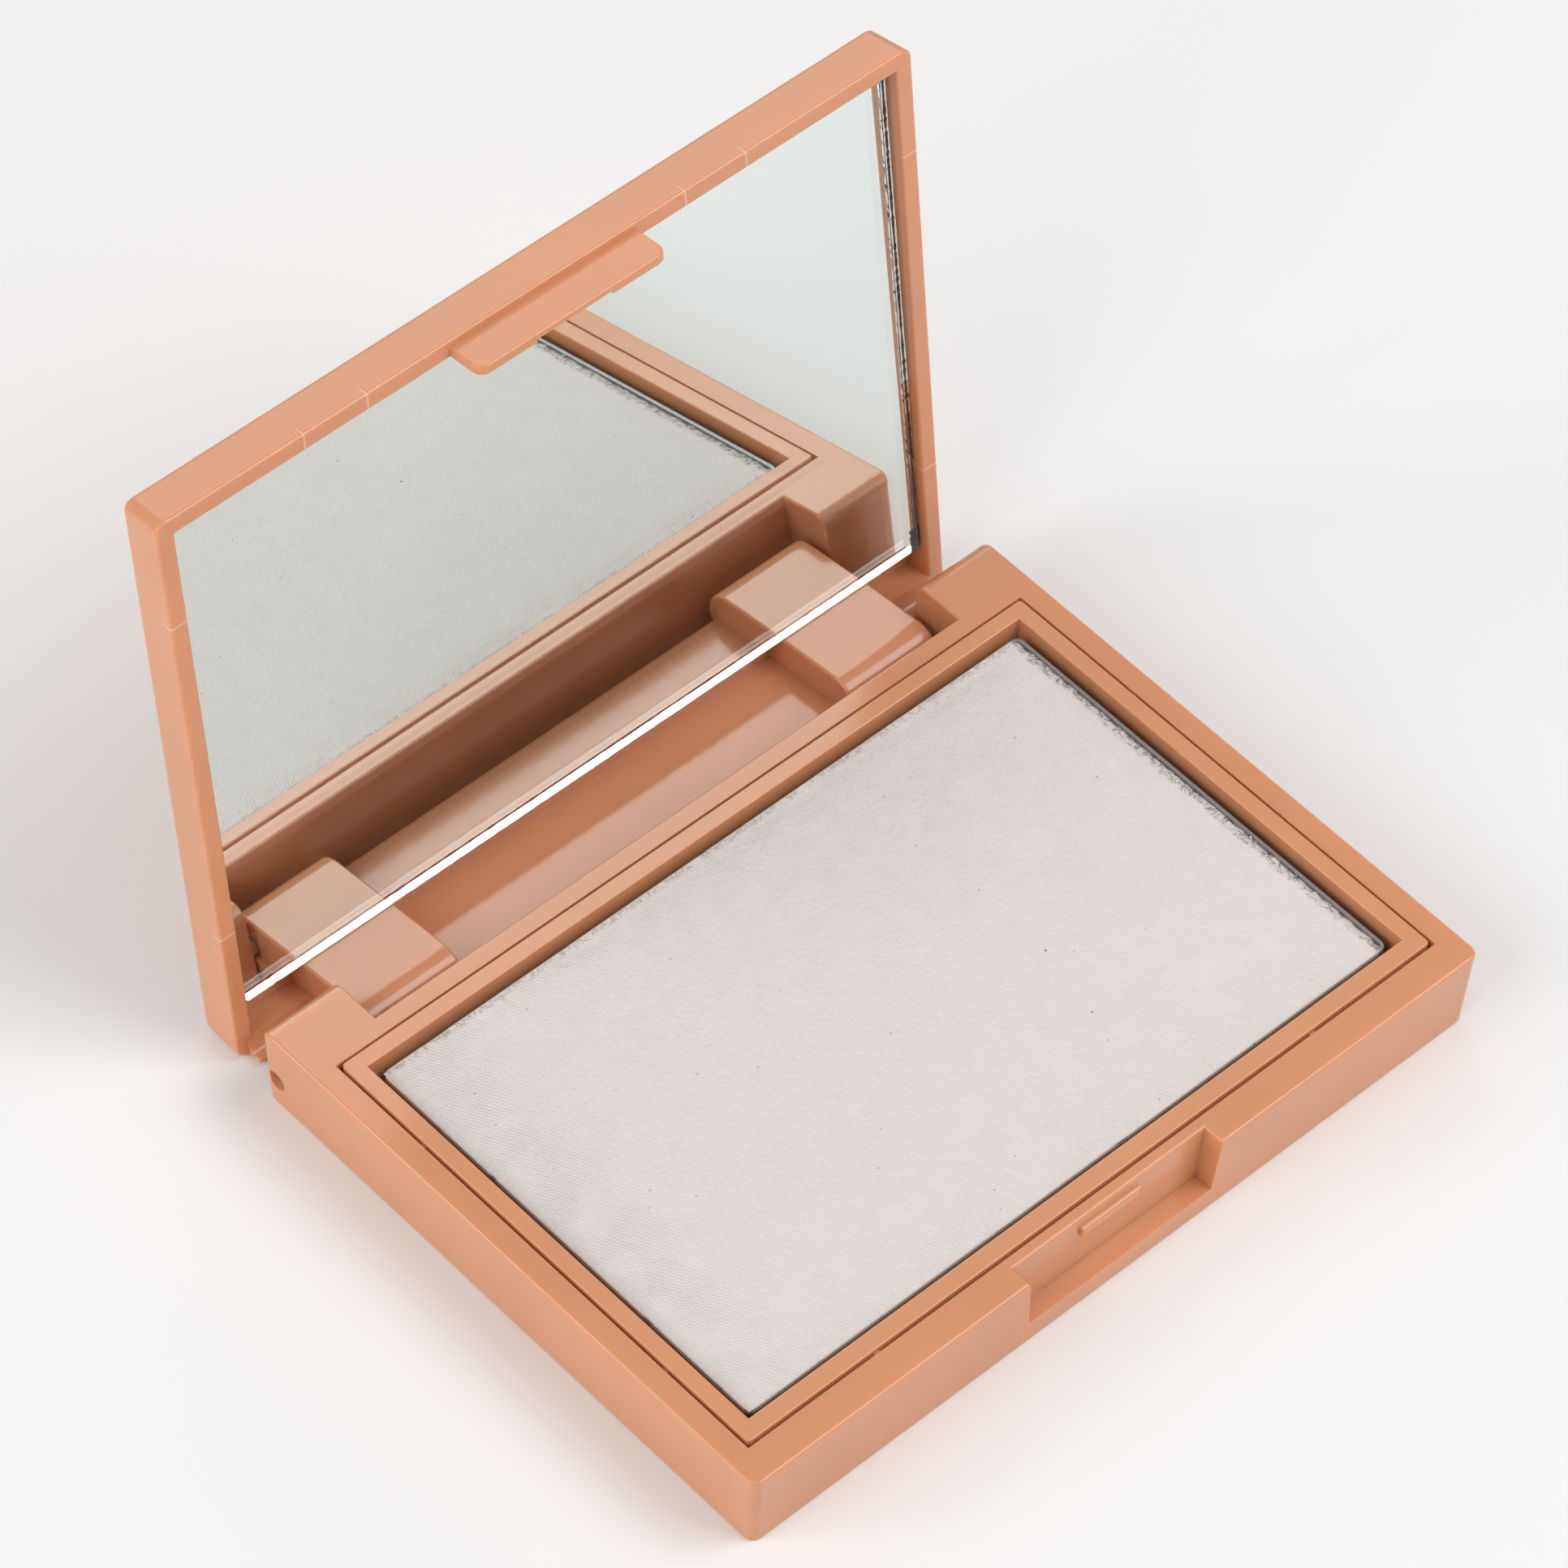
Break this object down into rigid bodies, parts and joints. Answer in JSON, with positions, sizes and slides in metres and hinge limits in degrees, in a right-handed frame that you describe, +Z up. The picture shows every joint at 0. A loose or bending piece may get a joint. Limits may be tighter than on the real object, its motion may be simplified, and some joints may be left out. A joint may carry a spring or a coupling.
{
  "type": "powder compact",
  "caption": "Square-cornered pressed-powder compact, shown open: hinged lid with a full mirror, framed tray with a pan of pale powder, and a thumb tab that closes into a front recess.",
  "frame": {"origin": "on the underside of the base, midway across it and 30 mm behind its front wall", "axes": "+X along the hinge, +Y from the thumb tab towards the hinge, +Z up out of the powder"},
  "size_m": [0.08, 0.0751, 0.0596],
  "materials": {
    "case_plastic": "satin peach, faintly translucent",
    "tray_plastic": "satin peach, faintly translucent",
    "pan_metal": "bright rolled sheet",
    "powder": "matt pressed powder with a woven imprint",
    "glue": "set hot-melt glue",
    "pin_steel": "drawn wire",
    "mirror_glass": "clear float glass with ground edges",
    "mirror_silver": "silvered back, chipped along the edges",
    "mounting_tape": "white foam tape"
  },
  "bodies": {
    "base": {"base_shell": "case_plastic", "powder_tray": "tray_plastic", "powder_pan": "pan_metal", "pressed_powder": "powder", "pan_glue": "glue", "hinge_pin_left": "pin_steel", "hinge_pin_right": "pin_steel"},
    "lid": {"lid_shell": "case_plastic", "mirror_glass": "mirror_glass", "mirror_silvering": "mirror_silver", "mirror_tape": "mounting_tape"}
  },
  "joints": [
    {"name": "lid_hinge", "type": "hinge", "parent": "base", "child": "lid", "pos_m": [0, 0.02775, 0.00315], "axis": [1, 0, 0], "range_deg": [0, 97.35]}
  ]
}
